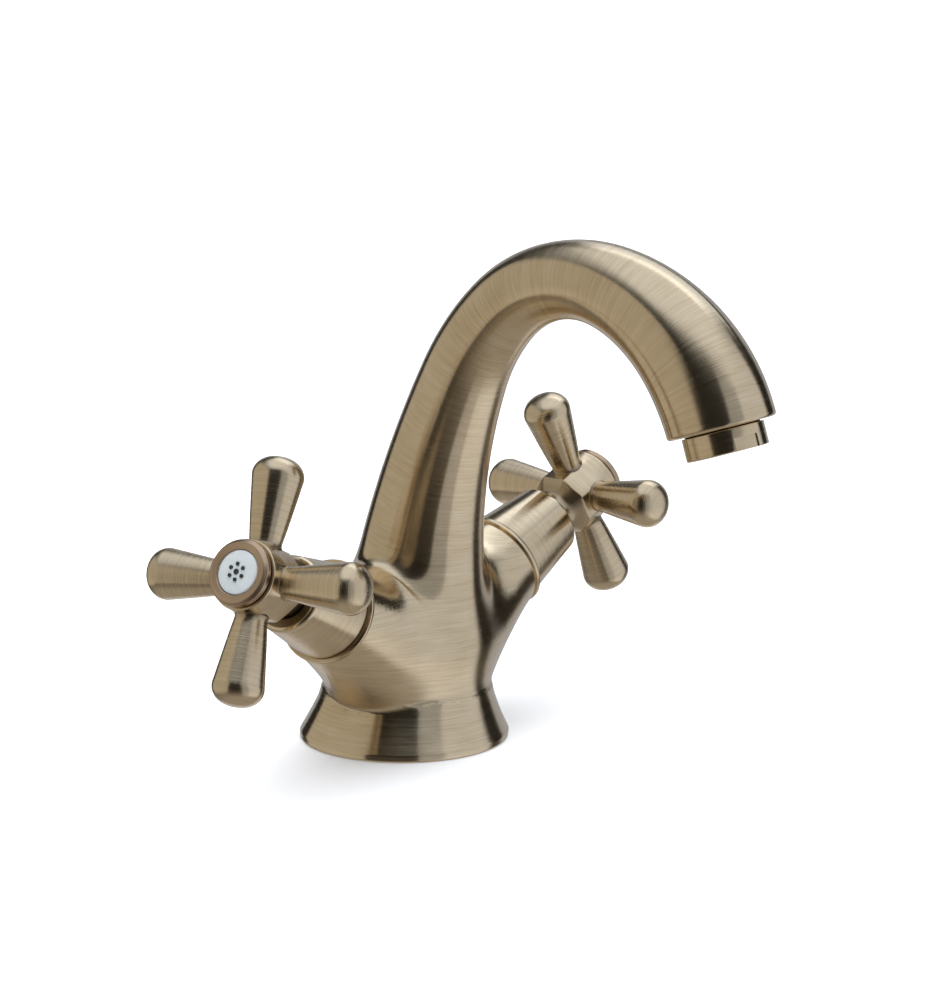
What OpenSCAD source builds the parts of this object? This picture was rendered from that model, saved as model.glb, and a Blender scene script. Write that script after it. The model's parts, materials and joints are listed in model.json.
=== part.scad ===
// Two-handle basin mixer tap: one casting with a fixed swan-neck spout, two ceramic-disc
// valves with cross handles, and an aerator in the spout's mouth.
// +Z is up, the spout reaches towards -Y, the hot valve is on -X and the cold valve on +X.
// The origin is the centre of the base's underside, where the tap stands on the basin.
// Valve parts are drawn along their own axis: local Z is the distance from the body's centre.

/* [Base] */
// Diameter of the round foot
base_d = 56; // [52:1:60]
// Diameter of the waist above the foot
waist_d = 45.6; // [44:0.2:47]
// Height of the waist
waist_h = 14; // [12:1:16]

/* [Spout] */
// Length of the straight lower column, measured from the waist
column_rise = 40; // [36:1:46]
// Angle that the column leans forward
column_lean = 9.5; // [8:0.5:11]
// Radius of the tube at its slimmest, near the top of the arch
neck_r = 9.85; // [9.5:0.05:10.5]
// Radius of the tube at its mouth
mouth_r = 13.7; // [13:0.1:14.5]
// Wall of the hollow spout
spout_wall = 3.2; // [2.8:0.1:3.6]

/* [Valves] */
// Height where the two valve axes meet on the centre line
valve_z = 24.5; // [24:0.5:26]
// Angle that each valve axis rises outwards
valve_rise = 25; // [23:0.5:27]
// Angle that each valve axis is swept forward
valve_sweep = 7; // [5:0.5:9]
// Distance along the axis to the end of the casting's arm
arm_end = 40.2; // [40:0.1:41]
// Radius of the arm at its end
arm_r = 12.9; // [12.7:0.1:13.2]
// Radius of the trim ring between the arm and the shroud
ring_r = 13.7; // [13.5:0.1:14.2]

/* [Handles] */
// Reach of each handle arm from the valve axis
handle_reach = 31.7; // [29:0.1:34]
// Radius of a handle arm at its root
arm_root_r = 4.1; // [3.6:0.1:4.3]
// Radius of a handle arm near its tip
arm_tip_r = 6.6; // [5.8:0.1:6.8]
// Angle that the closed hot handle stands off upright
hot_turned = 3; // [0:1:10]
// Angle that the closed cold handle stands off upright
cold_turned = 2; // [0:1:10]

/* [Aerator] */
// Radius of the collar below the mouth
collar_r = 10.3; // [10.1:0.1:10.8]
// Length of the collar below the mouth
collar_h = 6.2; // [6:0.2:7.2]

/* [Inlets] */
// Distance between the two inlet threads
inlet_pitch = 18; // [17:0.5:20]
// Wall radius of an inlet thread, M10 by 1
inlet_r = 4.5; // [4.4:0.05:4.6]
// Wall radius of the fixing stud's thread, M8
stud_r = 3.4; // [3.3:0.05:3.5]

/* [Hidden] */
$fn = 64;
hot = -1;
cold = 1;
eps = 0.01;
fit_gap = 0.05;        // radial clearance of a piece in its bore

brass = "#9c8a63";
bronze = "#8a7258";
white_enamel = "#eef0ee";
black_enamel = "#20201e";
ceramic = "#d9d4c8";
rubber = "#2b2b2b";
steel = "#b8b8b8";
plastic = "#e6e3da";

base_r = base_d / 2;
waist_r = waist_d / 2;
foot_edge = 0.6;       // bevel around the underside
foot_side = 1.6;       // height of the foot's upright rim
gasket_in = 20.5;
gasket_out = 25.5;
gasket_h = 2.2;
inlet_y = 4;
inlet_depth = 14;
stud_y = -9.5;
stud_depth = 16;

// The arch above the column: [bend radius, heading reached], headings measured from upright
arch = [[190, 24], [60, 45], [35, 105], [48, 162]];
heading_end = arch[len(arch) - 1][1];
slim_at = 127;         // arc length from the waist to the slimmest point
flare_run = 63;        // arc length over which the mouth swells
taper_power = 1.8;
crease = 0.4;          // step in from the foot to the body at the waist
tube_start = -3;
tube_sides = 32;
tube_step = 5;
water_sides = 16;
water_step = 8;
water_start = 30;
water_r = 8.6;
aerator_r = 9.5;
aerator_depth = 11;

// Distances along a valve axis, from the body's centre outwards
passage_r = 3.6;
passage_from = 8;
seat_h = 22.4;
bore_r = 9.55;
outlet_h = 27;
outlet_r = 3.4;
washer_t = 1.6;
disc_r = 7.4;
disc_t = 2.4;
fixed_h = seat_h + washer_t + 0.4;
moving_h = fixed_h + disc_t;
foot_h = moving_h + disc_t;
foot_t = 2.6;
shaft_h = foot_h + foot_t;
ring_t = 1.2;
flange_h = arm_end + ring_t;
flange_t = 3.6;
cartridge_top = 57;
shaft_r = 4;
seal_h = 50;
clip_h = cartridge_top + 0.1;
clip_t = 0.8;
spline_h = 59;
spline_teeth = 20;
spindle_top = 66;
screw_seat = 69;
shroud_end = 61.7;
shroud_r1 = 12.6;
shroud_r2 = 9.9;
shroud_round = 1.3;
shroud_wall = 1.4;
hub_from = 60.5;
hub_neck_r = 6.3;
hub_flat_h = 68.5;
hub_arms_h = 74.65;
hub_flats = 18;
bell_h = 76.5;
bell_r = 9.1;
bell_top = 81.9;
bezel_h = 82.4;
bezel_r = 8.5;
bezel_t = 2.2;
index_r = 5.55;
index_h = bezel_h + 1.3;
index_dome = 0.5;
spigot_r = 2.4;
spigot_in = 4.9;
arm_dome = 4.8;        // length of a handle arm's rounded tip
inlet_feed_r = 3.1;    // drilling between an inlet thread and the valve
inlet_feed_h = 16;
outlet_turn = 130;     // angle of the drilling from a valve to the spout
outlet_run = 24;
nut_r = 10.6;          // hexagon of the cartridge, across its corners
barrel_r = 7.2;
stop_w = 7;            // stop slots of the cartridge
stop_h = 4.4;
spline_r1 = 3.9;
spline_r2 = 3.5;
seal_groove_r = 2.85;
seal_t = 1.04;
clip_groove_r = 3.3;
clip_out = 5.4;
screw_r = 2;
screw_head_r = 3.6;
socket_r = 5.95;       // recess of the bezel's plug in the hub
shell_t = 1.2;         // end wall of the shroud
housing_top = 8;       // depth of the aerator's housing inside the mouth
housing_in = 8.3;
housing_bevel = 0.8;
notch_turn = 115;
notch_w = 6.6;
notch_h = 3.3;
seal_ring_in = 6.6;
seal_ring_out = 9.2;
seal_ring_t = 1.55;
insert_h = 8;
insert_in = 6.8;
jet_at = 4.4;
jet_r = 0.9;
screen_t = 0.65;
screen_pitch = 1.55;
screen_hole_r = 0.5;
mark_r = 0.5;
mark_centre_r = 0.7;
mark_ring = 2;
mark_deep = 0.15;
mark_proud = 0.2;

// Position [y, z] and heading of the spout's centre line at an arc length from the waist
function arc_end(p, a, b, bend) = p + bend * [cos(b) - cos(a), sin(b) - sin(a)];
function along_arch(s, i, p, a) =
    let (bend = arch[i][0], reached = arch[i][1], run = bend * (reached - a) * PI / 180)
    (s <= run || i == len(arch) - 1)
        ? let (b = a + s / bend * 180 / PI) [arc_end(p, a, b, bend), b]
        : along_arch(s - run, i + 1, arc_end(p, a, reached, bend), reached);
function spine(s) = let (step = [-sin(column_lean), cos(column_lean)])
    s <= column_rise
        ? [[0, waist_h] + s * step, column_lean]
        : along_arch(s - column_rise, 0, [0, waist_h] + column_rise * step, column_lean);
function arch_run(i, a) = i == len(arch) ? 0
    : arch[i][0] * (arch[i][1] - a) * PI / 180 + arch_run(i + 1, arch[i][1]);
spine_length = column_rise + arch_run(0, column_lean);

function smooth(t) = let (u = min(1, max(0, t))) u * u * (3 - 2 * u);
function tube_r(s) = s < slim_at
    ? neck_r + (waist_r - crease - neck_r) * pow(1 - s / slim_at, taper_power)
    : neck_r + (mouth_r - neck_r) * smooth((s - slim_at) / flare_run);
function water_radius(s) = min(tube_r(s) - spout_wall, water_r);

// A closed tube through rings of equal size
function tube_ring(s, r, sides) = let (at = spine(s), c = at[0], h = at[1])
    [for (k = [0 : sides - 1]) let (a = 360 * k / sides)
        [r * cos(a), c[0] - r * sin(a) * cos(h), c[1] - r * sin(a) * sin(h)]];
module skin(rings) {
    sides = len(rings[0]);
    last = len(rings) - 1;
    points = [for (ring = rings) for (p = ring) p];
    walls = [for (i = [0 : last - 1]) for (k = [0 : sides - 1])
        let (a = i * sides + k, b = i * sides + (k + 1) % sides) [a, b, b + sides, a + sides]];
    caps = [[for (k = [sides - 1 : -1 : 0]) k], [for (k = [0 : sides - 1]) last * sides + k]];
    polyhedron(points, concat(walls, caps), convexity = 10);
}

// Frames: along a valve axis on either side, and outwards from the spout's mouth
module on_valve(side) {
    mirror([side < 0 ? 1 : 0, 0, 0])
        translate([0, 0, valve_z])
            rotate([0, 90 - valve_rise, -valve_sweep]) children();
}
module on_handle(side) {
    on_valve(side) rotate([0, 0, side < 0 ? -hot_turned : -cold_turned]) children();
}
module at_mouth() {
    at = spine(spine_length);
    translate([0, at[0][0], at[0][1]]) rotate([heading_end, 0, 0]) children();
}
module ring(inner, outer, height) {
    difference() {
        cylinder(r = outer, h = height);
        translate([0, 0, -1]) cylinder(r = inner, h = height + 2);
    }
}

// Casting
module foot() {
    rise = waist_h - foot_side;
    flare = [for (t = [0 : 0.125 : 1])
        [waist_r + (base_r - waist_r) * pow(1 - t, 1.25), foot_side + rise * t]];
    rotate_extrude()
        polygon(concat([[0, 0], [base_r - foot_edge, 0], [base_r, foot_edge]], flare, [[0, waist_h]]));
}
module shoulder(side) {
    hull() {
        rotate([2 * side, 0, 0]) translate([0, 0, waist_h - 1.6])
            cylinder(r = waist_r - 2 * crease, h = 0.5, $fn = 32);
        on_valve(side) translate([0, 0, arm_end - 4]) cylinder(r = arm_r, h = 4, $fn = 32);
    }
}
module spout_tube() {
    run = spine_length - tube_start;
    count = ceil(run / tube_step);
    skin([for (i = [0 : count]) let (s = tube_start + run * i / count)
        tube_ring(s, tube_r(s), tube_sides)]);
}
module spout_water() {
    run = spine_length - aerator_depth - water_start + 1;
    count = ceil(run / water_step);
    skin([for (i = [0 : count]) let (s = water_start + run * i / count)
        tube_ring(s, water_radius(s), water_sides)]);
}
module waterways(side) {
    on_valve(side) {
        translate([0, 0, seat_h]) cylinder(r = bore_r, h = arm_end - seat_h + 1);
        translate([0, 0, passage_from]) cylinder(r = passage_r, h = seat_h - passage_from + 1);
        translate([0, 0, outlet_h]) rotate([0, -outlet_turn, 0]) cylinder(r = outlet_r, h = outlet_run);
    }
    translate([side * inlet_pitch / 2, inlet_y, -1]) cylinder(r = inlet_r, h = inlet_depth + 1);
    translate([side * inlet_pitch / 2, inlet_y, inlet_depth - 1])
        cylinder(r = inlet_feed_r, h = inlet_feed_h);
}
module body() {
    color(brass) difference() {
        union() {
            foot();
            shoulder(hot);
            shoulder(cold);
            spout_tube();
        }
        spout_water();
        at_mouth() translate([0, 0, -aerator_depth]) cylinder(r = aerator_r, h = aerator_depth + 1);
        waterways(hot);
        waterways(cold);
        translate([0, stud_y, -1]) cylinder(r = stud_r, h = stud_depth + 1);
        translate([0, 0, -1]) ring(gasket_in, gasket_out, gasket_h + 1);
    }
}
module base_gasket() {
    color(rubber) ring(gasket_in + fit_gap, gasket_out - fit_gap, gasket_h);
}

// Aerator
module aerator_housing() {
    color(brass) at_mouth() difference() {
        union() {
            translate([0, 0, -housing_top])
                cylinder(r = aerator_r - fit_gap, h = housing_top + housing_bevel / 2);
            rotate_extrude() polygon([[0, eps], [collar_r, eps], [collar_r, collar_h - housing_bevel],
                [collar_r - 0.3 * housing_bevel, collar_h - 0.4 * housing_bevel],
                [collar_r - housing_bevel, collar_h], [0, collar_h]]);
        }
        translate([0, 0, -housing_top - 1])
            cylinder(r = housing_in, h = housing_top + collar_h - screen_t / 3);
        cylinder(r = housing_in - 1, h = collar_h + 1);
        for (turn = [0, 180]) rotate([0, 0, notch_turn + turn])
            translate([collar_r - 1, -notch_w / 2, collar_h - notch_h]) cube([3, notch_w, notch_h + 1]);
    }
}
module aerator_washer() {
    color(rubber) at_mouth() translate([0, 0, -housing_top - seal_ring_t - fit_gap])
        ring(seal_ring_in, seal_ring_out, seal_ring_t);
}
module aerator_insert() {
    top = -housing_top + 0.3;
    floor_t = 2;
    color(plastic) at_mouth() difference() {
        translate([0, 0, top]) cylinder(r = housing_in - fit_gap, h = insert_h);
        translate([0, 0, top + floor_t]) cylinder(r = insert_in, h = insert_h);
        for (turn = [0 : 45 : 315]) rotate([0, 0, turn]) translate([jet_at, 0, top - 1])
            cylinder(r = jet_r, h = floor_t + 2);
    }
}
module aerator_screen() {
    color(steel) at_mouth() translate([0, 0, collar_h - 1.9]) difference() {
        cylinder(r = housing_in - fit_gap, h = screen_t);
        for (ring_at = [1 : 4]) for (k = [0 : 6 * ring_at - 1])
            rotate([0, 0, 60 * k / ring_at]) translate([screen_pitch * ring_at, 0, -1])
                cylinder(r = screen_hole_r, h = 3, $fn = 16);
    }
}

// Fixed valve parts
module trim_ring(side) {
    color(brass) on_valve(side) translate([0, 0, arm_end]) rotate_extrude()
        polygon([[bore_r, 0], [ring_r - 0.3, 0], [ring_r, 0.3], [ring_r, ring_t - 0.3],
            [ring_r - 0.3, ring_t], [bore_r, ring_t]]);
}
module valve_shroud(side) {
    inner1 = shroud_r1 - shroud_wall;
    inner2 = shroud_r2 - shroud_wall;
    corner = [for (a = [0 : 15 : 90])
        [shroud_r2 - shroud_round * (1 - cos(a)), shroud_end - shroud_round * (1 - sin(a))]];
    color(brass) on_valve(side) rotate_extrude()
        polygon(concat([[inner1, flange_h], [shroud_r1, flange_h]], corner,
            [[hub_neck_r + 0.4, shroud_end], [hub_neck_r + 0.4, shroud_end - shell_t],
             [inner2, shroud_end - shell_t]]));
}
module cartridge_body(side) {
    color(brass) on_valve(side) difference() {
        union() {
            translate([0, 0, seat_h + washer_t])
                cylinder(r = bore_r - fit_gap, h = flange_h - seat_h - washer_t);
            translate([0, 0, flange_h]) cylinder(r = nut_r, h = flange_t, $fn = 6);
            translate([0, 0, flange_h + flange_t - eps])
                cylinder(r = barrel_r, h = cartridge_top - flange_h - flange_t);
        }
        translate([0, 0, seat_h]) cylinder(r = disc_r + fit_gap, h = shaft_h - seat_h + 0.1);
        translate([0, 0, seat_h]) cylinder(r = shaft_r + fit_gap, h = cartridge_top);
        for (turn = [0, 180]) rotate([0, 0, turn])
            translate([shaft_r, -stop_w / 2, foot_h - 2]) cube([8, stop_w, stop_h]);
    }
}
module seat_washer(side) {
    color(rubber) on_valve(side) translate([0, 0, seat_h]) ring(passage_r + 0.2, 8.6, washer_t);
}
module disc_ports(r) {
    for (turn = [0, 180]) rotate([0, 0, turn]) intersection() {
        ring(2.2, r - 1.4, 10);
        rotate([0, 0, -35]) cube([20, 20, 20]);
        rotate([0, 0, -20]) cube([20, 20, 20]);
    }
}
module fixed_disc(side) {
    color(ceramic) on_valve(side) translate([0, 0, fixed_h]) difference() {
        cylinder(r = disc_r, h = disc_t);
        translate([0, 0, -1]) disc_ports(disc_r);
    }
}

// Turning parts
module moving_disc(side) {
    color(ceramic) on_valve(side) translate([0, 0, moving_h]) difference() {
        cylinder(r = disc_r - fit_gap, h = disc_t);
        translate([0, 0, -1]) rotate([0, 0, 90]) disc_ports(disc_r);
    }
}
module spindle(side) {
    tooth = 360 / spline_teeth;
    spline = [for (k = [0 : spline_teeth - 1]) each [
        spline_r1 * [cos(k * tooth), sin(k * tooth)],
        spline_r2 * [cos((k + 0.5) * tooth), sin((k + 0.5) * tooth)]]];
    color(brass) on_valve(side) difference() {
        union() {
            translate([0, 0, foot_h]) cylinder(r = disc_r - fit_gap, h = foot_t);
            translate([0, 0, foot_h + 1]) cylinder(r = shaft_r, h = spline_h - foot_h - 1);
            translate([0, 0, spline_h - 1])
                linear_extrude(spindle_top - spline_h + 1) polygon(spline);
        }
        translate([0, 0, seal_h - seal_t / 2 - 0.13]) ring(seal_groove_r, shaft_r + 2, seal_t + 0.26);
        translate([0, 0, clip_h - fit_gap]) ring(clip_groove_r, shaft_r + 2, clip_t + 2 * fit_gap);
        translate([0, 0, spindle_top - 9]) cylinder(r = screw_r + fit_gap, h = 10);
    }
}
module spindle_seal(side) {
    color(rubber) on_valve(side) translate([0, 0, seal_h])
        rotate_extrude() translate([(seal_groove_r + shaft_r + fit_gap) / 2, 0])
            circle(r = seal_t / 2, $fn = 24);
}
module spindle_clip(side) {
    color(steel) on_valve(side) translate([0, 0, clip_h]) difference() {
        ring(clip_groove_r + fit_gap, clip_out, clip_t);
        translate([0, -clip_groove_r / 2, -1]) cube([8, clip_groove_r, 4]);
    }
}
module handle_hub(side) {
    flat_r = hub_flats / 2;
    corner_r = flat_r / cos(22.5);
    bell_root = corner_r - 0.2;
    color(brass) on_handle(side) difference() {
        union() {
            translate([0, 0, hub_from]) cylinder(r = hub_neck_r, h = 4);
            translate([0, 0, hub_from + 4 - eps])
                cylinder(r1 = hub_neck_r, r2 = flat_r - 0.2, h = hub_flat_h - hub_from - 4 + eps * 2);
            translate([0, 0, hub_flat_h]) rotate([0, 0, 22.5])
                cylinder(r = corner_r, h = bell_h - hub_flat_h + 2, $fn = 8);
            rotate_extrude() polygon([[0, bell_h], [bell_root, bell_h], [bell_r, bell_top - 0.3],
                [bell_r - 0.3, bell_top], [0, bell_top]]);
        }
        translate([0, 0, hub_from - 1]) cylinder(r = shaft_r + fit_gap, h = spindle_top - hub_from + 1.1);
        translate([0, 0, hub_from]) cylinder(r = screw_r + 0.2, h = 20);
        translate([0, 0, screw_seat]) cylinder(r = screw_head_r + 0.8, h = 20);
        translate([0, 0, bell_top - 3]) cylinder(r = socket_r, h = 4);
        for (turn = [0 : 90 : 270]) rotate([0, 90, turn]) translate([-hub_arms_h, 0, 0]) {
            translate([0, 0, spigot_in - 0.2]) cylinder(r = spigot_r + fit_gap, h = 8);
            translate([0, 0, flat_r]) cylinder(r = arm_root_r + 0.15, h = 5);
        }
    }
}
module handle_arm(side, turn) {
    root = hub_flats / 2 + eps;
    swell = handle_reach - arm_dome;
    sides = [for (t = [0 : 0.25 : 1])
        [arm_root_r + (arm_tip_r - arm_root_r) * pow(t, 0.9), root + (swell - root) * t]];
    dome = [for (a = [15 : 15 : 90]) [arm_tip_r * cos(a), swell + arm_dome * sin(a)]];
    color(brass) on_handle(side) translate([0, 0, hub_arms_h]) rotate([0, 90, turn]) rotate_extrude()
        polygon(concat([[0, spigot_in], [spigot_r, spigot_in], [spigot_r, root]], sides, dome));
}
module handle_screw(side) {
    color(steel) on_handle(side) difference() {
        union() {
            translate([0, 0, spindle_top - 8]) cylinder(r = screw_r, h = screw_seat - spindle_top + 8.5);
            translate([0, 0, screw_seat]) cylinder(r = screw_head_r, h = 3);
        }
        translate([-0.6, -5, screw_seat + 1.8]) cube([1.2, 10, 3]);
    }
}
module index_bezel(side) {
    top = bezel_h + bezel_t;
    color(bronze) on_handle(side) rotate_extrude()
        polygon([[0, bell_top - 2.6], [socket_r - fit_gap, bell_top - 2.6],
            [socket_r - fit_gap, bezel_h], [bezel_r - 0.2, bezel_h], [bezel_r, bezel_h + 0.3],
            [bezel_r, top - 1], [bezel_r - 0.35, top - 0.35], [bezel_r - 1.1, top],
            [index_r + 0.25, top - 0.1], [index_r + 0.1, index_h], [0, index_h]]);
}
// The disc's black mark: a dot ringed by six smaller ones, let into its face
module mark_dots(height, gap) {
    cylinder(r = mark_centre_r + gap, h = height);
    for (turn = [0 : 60 : 300]) rotate([0, 0, turn])
        translate([mark_ring, 0, 0]) cylinder(r = mark_r + gap, h = height);
}
mark_top = bezel_h + bezel_t - 0.2 + index_dome;
module index_disc(side) {
    dome_r = (index_r * index_r + index_dome * index_dome) / (2 * index_dome);
    face = [for (t = [1 : -0.25 : 0])
        [index_r * t, mark_top - dome_r + sqrt(dome_r * dome_r - pow(index_r * t, 2))]];
    color(white_enamel) on_handle(side) difference() {
        rotate_extrude() polygon(concat([[0, index_h + eps], [index_r, index_h + eps]], face));
        translate([0, 0, mark_top - mark_deep]) mark_dots(1, eps);
    }
}
module index_mark(side) {
    color(black_enamel) on_handle(side) translate([0, 0, mark_top - mark_deep + eps])
        mark_dots(mark_deep + mark_proud, 0);
}

body();
base_gasket();
aerator_housing();
aerator_washer();
aerator_insert();
aerator_screen();
trim_ring(hot);  // hot_trim_ring
valve_shroud(hot);  // hot_valve_shroud
cartridge_body(hot);  // hot_cartridge_body
seat_washer(hot);  // hot_seat_washer
fixed_disc(hot);  // hot_fixed_disc
moving_disc(hot);  // hot_moving_disc
spindle(hot);  // hot_spindle
spindle_seal(hot);  // hot_spindle_seal
spindle_clip(hot);  // hot_spindle_clip
handle_hub(hot);  // hot_handle_hub
handle_screw(hot);  // hot_handle_screw
index_bezel(hot);  // hot_index_bezel
index_disc(hot);  // hot_index_disc
index_mark(hot);  // hot_index_mark
handle_arm(hot, 180);  // hot_handle_arm_top
handle_arm(hot, 270);  // hot_handle_arm_front
handle_arm(hot, 0);  // hot_handle_arm_bottom
handle_arm(hot, 90);  // hot_handle_arm_rear
trim_ring(cold);  // cold_trim_ring
valve_shroud(cold);  // cold_valve_shroud
cartridge_body(cold);  // cold_cartridge_body
seat_washer(cold);  // cold_seat_washer
fixed_disc(cold);  // cold_fixed_disc
moving_disc(cold);  // cold_moving_disc
spindle(cold);  // cold_spindle
spindle_seal(cold);  // cold_spindle_seal
spindle_clip(cold);  // cold_spindle_clip
handle_hub(cold);  // cold_handle_hub
handle_screw(cold);  // cold_handle_screw
index_bezel(cold);  // cold_index_bezel
index_disc(cold);  // cold_index_disc
index_mark(cold);  // cold_index_mark
handle_arm(cold, 180);  // cold_handle_arm_top
handle_arm(cold, 270);  // cold_handle_arm_front
handle_arm(cold, 0);  // cold_handle_arm_bottom
handle_arm(cold, 90);  // cold_handle_arm_rear
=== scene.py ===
"""Two-handle basin mixer tap in brushed antique brass, standing on a pale floor under soft boxes."""
import json
import math
import bpy
import numpy as np
from mathutils import Matrix, Vector
from mathutils.geometry import delaunay_2d_cdt


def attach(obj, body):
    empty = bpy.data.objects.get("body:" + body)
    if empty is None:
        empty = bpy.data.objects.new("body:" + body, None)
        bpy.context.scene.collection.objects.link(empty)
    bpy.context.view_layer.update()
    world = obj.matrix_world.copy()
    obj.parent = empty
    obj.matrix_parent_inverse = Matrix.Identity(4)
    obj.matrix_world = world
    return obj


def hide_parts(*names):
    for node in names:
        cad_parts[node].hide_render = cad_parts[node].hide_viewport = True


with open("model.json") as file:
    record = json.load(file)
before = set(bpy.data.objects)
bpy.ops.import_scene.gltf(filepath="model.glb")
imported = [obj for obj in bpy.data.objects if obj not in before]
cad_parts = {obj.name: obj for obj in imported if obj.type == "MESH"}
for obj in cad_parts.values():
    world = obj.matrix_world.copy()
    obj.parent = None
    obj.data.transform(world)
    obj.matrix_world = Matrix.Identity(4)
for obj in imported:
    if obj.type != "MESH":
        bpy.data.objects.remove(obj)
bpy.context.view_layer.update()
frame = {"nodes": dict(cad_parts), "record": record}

MM = 0.001


# ---------------------------------------------------------------- camera
def rad(degrees):
    return math.radians(degrees)


CAM_AZIMUTH, CAM_ELEVATION = rad(-52.31), rad(12.05)
CAM_DISTANCE, CAM_ASIDE, CAM_ABOVE = 830.5, 18.2, 62.7
back = Vector((math.sin(CAM_AZIMUTH) * math.cos(CAM_ELEVATION),
               -math.cos(CAM_AZIMUTH) * math.cos(CAM_ELEVATION), math.sin(CAM_ELEVATION)))
right = Vector((math.cos(CAM_AZIMUTH), math.sin(CAM_AZIMUTH), 0))
over = back.cross(right)
camera = bpy.data.objects.new("camera", bpy.data.cameras.new("camera"))
bpy.context.scene.collection.objects.link(camera)
camera.data.sensor_width = 36
camera.data.lens = 111.2
camera.data.clip_start, camera.data.clip_end = 0.05, 30
camera.location = MM * (CAM_DISTANCE * back + CAM_ASIDE * right + CAM_ABOVE * over)
camera.rotation_mode = "QUATERNION"
camera.rotation_quaternion = (-back).to_track_quat("-Z", "Y")
bpy.context.scene.camera = camera


# ---------------------------------------------------------------- the spout's centre line, in mm
WAIST_Z, WAIST_R, CREASE = 14.0, 22.8, 0.4
LEAN = rad(9.5)
RISE = 40.0
ARCH = [(190, rad(24)), (60, rad(45)), (35, rad(105)), (48, rad(162))]
SLIM_AT, SLIM_R, MOUTH_R = 127.0, 9.85, 13.7
FLARE_RUN, TAPER = 63.0, 1.8


def smooth(t):
    t = np.clip(t, 0, 1)
    return t * t * (3 - 2 * t)


def spans():
    """The centre line as [(start s, start point, heading, bend radius or None, length)]."""
    p, h, s = np.array([0.0, WAIST_Z]), LEAN, 0.0
    out = [(s, p, h, None, RISE)]
    p, s = p + RISE * np.array([-math.sin(h), math.cos(h)]), RISE
    for bend, reached in ARCH:
        run = bend * (reached - h)
        out.append((s, p, h, bend, run))
        p = p + bend * np.array([math.cos(reached) - math.cos(h), math.sin(reached) - math.sin(h)])
        s, h = s + run, reached
    return out, s, p, h


SPANS, LENGTH, MOUTH, MOUTH_HEADING = spans()


def spine(s):
    """Point (y, z) and heading of the centre line at arc lengths s."""
    s = np.atleast_1d(np.asarray(s, float))
    point, heading = np.zeros((len(s), 2)), np.zeros(len(s))
    for i, (s0, p, h, bend, run) in enumerate(SPANS):
        last = i == len(SPANS) - 1
        m = (s >= s0 if i else s > -1e9) & ((s < s0 + run) | last)
        t = s[m] - s0
        if bend is None:
            point[m] = p + t[:, None] * np.array([-math.sin(h), math.cos(h)])
            heading[m] = h
        else:
            b = h + np.minimum(t, run) / bend
            beyond = np.maximum(t - run, 0)
            point[m] = p + bend * np.stack([np.cos(b) - math.cos(h), np.sin(b) - math.sin(h)], 1)
            point[m] += beyond[:, None] * np.stack([-np.sin(b), np.cos(b)], 1)
            heading[m] = b
    return point, heading


def tube_r(s):
    lower = SLIM_R + (WAIST_R - CREASE - SLIM_R) * np.clip(1 - np.maximum(s, 0) / SLIM_AT, 0, 1) ** TAPER
    upper = SLIM_R + (MOUTH_R - SLIM_R) * smooth((s - SLIM_AT) / FLARE_RUN)
    return np.where(s < SLIM_AT, lower, upper)


def on_spine(q):
    """Arc length of the nearest point of the centre line, and the distance to it, for points q (n, 3)."""
    best = np.full(len(q), 1e9)
    at = np.zeros(len(q))
    yz = q[:, 1:]
    for s0, p, h, bend, run in SPANS:
        if bend is None:
            t = np.clip((yz - p) @ np.array([-math.sin(h), math.cos(h)]), -30, run)
        else:
            centre = p - bend * np.array([math.cos(h), math.sin(h)])
            v = yz - centre
            t = np.clip((np.arctan2(v[:, 1], v[:, 0]) - h) * bend, 0, run)
        near, _ = spine(np.clip(s0 + t, -30, LENGTH))
        d = np.hypot(q[:, 0], np.hypot(*(yz - near).T))
        closer = d < best
        best, at = np.where(closer, d, best), np.where(closer, s0 + t, at)
    return at, best


# ---------------------------------------------------------------- the casting as a smooth field, in mm
VALVE_Z, VALVE_RISE, VALVE_SWEEP = 24.5, rad(25), rad(7)
ARM_END, ARM_R = 40.2, 12.9
FOOT_R, FOOT_EDGE, FOOT_SIDE = 28.0, 0.6, 1.6
# the field is cut at CAST_FROM; the foot's side runs on a little higher and tucks under it
CAST_FROM, FOOT_TUCKS = 11.2, 10.8
GASKET_IN, GASKET_OUT, GASKET_DEEP = 20.5, 25.5, 2.2


def valve_frame(side, turned=0.0):
    """4x4 matrix in mm: local +Z outwards along the valve axis, +X down, +Y to the rear."""
    m = Matrix.Translation((0, 0, VALVE_Z))
    m = m @ Matrix.Rotation(-VALVE_SWEEP, 4, "Z") @ Matrix.Rotation(rad(90) - VALVE_RISE, 4, "Y")
    m = m @ Matrix.Rotation(-turned, 4, "Z")
    if side < 0:
        flip = Matrix.Diagonal((-1, 1, 1, 1))
        m = flip @ m
    return m


def soft_min(a, b, k):
    h = np.maximum(k - np.abs(a - b), 0) / k
    return np.minimum(a, b) - h * h * h * k / 6


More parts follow.
